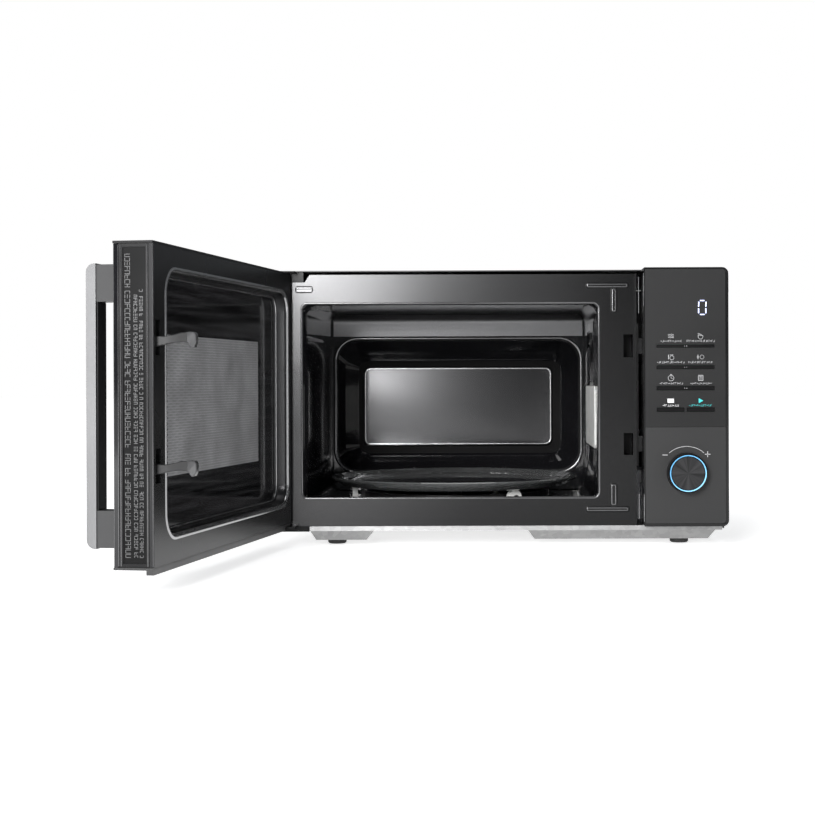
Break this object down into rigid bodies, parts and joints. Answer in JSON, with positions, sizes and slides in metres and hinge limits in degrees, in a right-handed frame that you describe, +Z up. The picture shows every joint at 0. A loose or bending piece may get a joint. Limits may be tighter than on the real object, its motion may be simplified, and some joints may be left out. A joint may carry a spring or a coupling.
{
  "type": "microwave oven",
  "caption": "Countertop microwave oven with its side-hinged door open, glass turntable on a roller ring, keypad, rotary knob and bar handle.",
  "frame": {"origin": "on the worktop under the middle of the whole shape, with the door open as at rest", "axes": "+X to the oven's right seen from the front, +Y from the front to the rear, +Z up"},
  "size_m": [0.6323, 0.811, 0.3205],
  "materials": {
    "cabinet_paint": "satin black powder coat",
    "front_paint": "satin dark grey metallic paint",
    "enamel": "glossy dark grey enamel",
    "zinc": "galvanised sheet",
    "steel": "plain steel",
    "brushed_dark": "dark radially brushed metal",
    "silver": "satin silver",
    "white_plastic": "white moulded plastic",
    "mica": "pale mica sheet",
    "clear_glass": "clear tempered glass",
    "smoked_glass": "black backed glass",
    "window_film": "glossy smoked film",
    "black_plastic": "black moulded plastic",
    "fascia": "satin charcoal overlay",
    "grey_plastic": "dark grey plastic",
    "rubber": "black rubber",
    "light": "lit translucent ring",
    "board": "green circuit board"
  },
  "bodies": {
    "oven": {"outer_cabinet": "cabinet_paint", "rear_panel": "cabinet_paint", "front_plate": "front_paint", "base_plate": "zinc", "foot_front_left": "rubber", "foot_front_right": "rubber", "foot_rear_left": "rubber", "foot_rear_right": "rubber", "cord_gland": "rubber", "upper_hinge_plate": "steel", "lower_hinge_plate": "steel", "cavity_left_wall": "enamel", "cavity_right_wall": "enamel", "cavity_ceiling": "enamel", "cavity_floor": "enamel", "cavity_back_wall": "enamel", "waveguide_cover": "mica", "waveguide": "zinc", "magnetron": "zinc", "high_voltage_transformer": "steel", "high_voltage_capacitor": "steel", "turntable_motor": "zinc", "oven_lamp": "clear_glass", "fan_shroud": "black_plastic", "fan_motor": "steel", "control_panel_moulding": "black_plastic", "upper_fascia": "fascia", "lower_fascia": "fascia", "control_board": "board", "latch_housing": "white_plastic", "door_switch_lower": "black_plastic", "door_switch_upper": "black_plastic"},
    "door": {"door_glass": "smoked_glass", "door_frame": "black_plastic", "door_inner_frame": "front_paint", "door_window_film": "window_film", "door_screen": "front_paint", "door_bottom_cap": "black_plastic", "door_top_cap": "black_plastic", "handle_bar": "silver", "handle_bracket_lower": "grey_plastic", "handle_bracket_upper": "grey_plastic", "handle_liner": "black_plastic", "latch_spring": "steel"},
    "latch": {"latch_lever": "white_plastic"},
    "turntable": {"glass_turntable": "clear_glass", "drive_coupler": "white_plastic"},
    "ring": {"roller_ring": "white_plastic"},
    "roller_one": {"roller_1": "white_plastic"},
    "roller_two": {"roller_2": "white_plastic"},
    "roller_three": {"roller_3": "white_plastic"},
    "fan": {"fan_blade": "black_plastic"},
    "knob": {"knob": "black_plastic", "knob_cap": "brushed_dark", "knob_light_ring": "light"},
    "rocker_upper": {"rocker_key_upper": "black_plastic"},
    "rocker_middle": {"rocker_key_middle": "black_plastic"},
    "rocker_lower": {"rocker_key_lower": "black_plastic"},
    "stop": {"stop_key": "black_plastic"},
    "start": {"start_key": "black_plastic"}
  },
  "joints": [
    {"name": "door_hinge", "type": "hinge", "parent": "oven", "child": "door", "pos_m": [-0.1964, 0.0027, 0.1715], "axis": [0, 0, -1], "range_deg": [-98.7, 8]},
    {"name": "latch_slide", "type": "slide", "parent": "door", "child": "latch", "axis": [0, 0, 1], "range_m": [0, 0.004], "stiffness_N_per_m": 400, "springref_m": -0.002, "deforming": ["latch_spring"]},
    {"name": "turntable_spin", "type": "hinge", "parent": "oven", "child": "turntable", "pos_m": [-0.0017, 0.1762, 0.061], "axis": [0, 0, 1], "continuous": true},
    {"name": "ring_spin", "type": "hinge", "parent": "oven", "child": "ring", "pos_m": [-0.0017, 0.1762, 0.0516], "axis": [0, 0, 1], "continuous": true},
    {"name": "roller_one_spin", "type": "hinge", "parent": "ring", "child": "roller_one", "pos_m": [0.07236, 0.07426, 0.0516], "axis": [0.5878, -0.809, 0], "continuous": true},
    {"name": "roller_two_spin", "type": "hinge", "parent": "ring", "child": "roller_two", "pos_m": [0.04955, 0.29131, 0.0516], "axis": [0.4067, 0.9135, 0], "continuous": true},
    {"name": "roller_three_spin", "type": "hinge", "parent": "ring", "child": "roller_three", "pos_m": [-0.12701, 0.16303, 0.0516], "axis": [-0.9945, -0.1045, 0], "continuous": true},
    {"name": "fan_spin", "type": "hinge", "parent": "oven", "child": "fan", "pos_m": [0.2461, 0.3807, 0.165], "axis": [0, 1, 0], "continuous": true},
    {"name": "knob_turn", "type": "hinge", "parent": "oven", "child": "knob", "pos_m": [0.2679, -0.0233, 0.0869], "axis": [0, -1, 0], "continuous": true},
    {"name": "rocker_upper_tilt", "type": "hinge", "parent": "oven", "child": "rocker_upper", "pos_m": [0.2671, -0.0203, 0.23075], "axis": [0, 0, 1], "range_deg": [-2.5, 2.5], "stiffness_Nm_per_rad": 0.2},
    {"name": "rocker_middle_tilt", "type": "hinge", "parent": "oven", "child": "rocker_middle", "pos_m": [0.2671, -0.0203, 0.2067], "axis": [0, 0, 1], "range_deg": [-2.5, 2.5], "stiffness_Nm_per_rad": 0.2},
    {"name": "rocker_lower_tilt", "type": "hinge", "parent": "oven", "child": "rocker_lower", "pos_m": [0.2671, -0.0203, 0.18285], "axis": [0, 0, 1], "range_deg": [-2.5, 2.5], "stiffness_Nm_per_rad": 0.2},
    {"name": "stop_press", "type": "slide", "parent": "oven", "child": "stop", "axis": [0, 1, 0], "range_m": [0, 0.0012], "stiffness_N_per_m": 500},
    {"name": "start_press", "type": "slide", "parent": "oven", "child": "start", "axis": [0, 1, 0], "range_m": [0, 0.0012], "stiffness_N_per_m": 500}
  ],
  "couplings": [
    {"joint": "ring_spin", "follows": "turntable_spin", "ratio": 0.5}
  ]
}
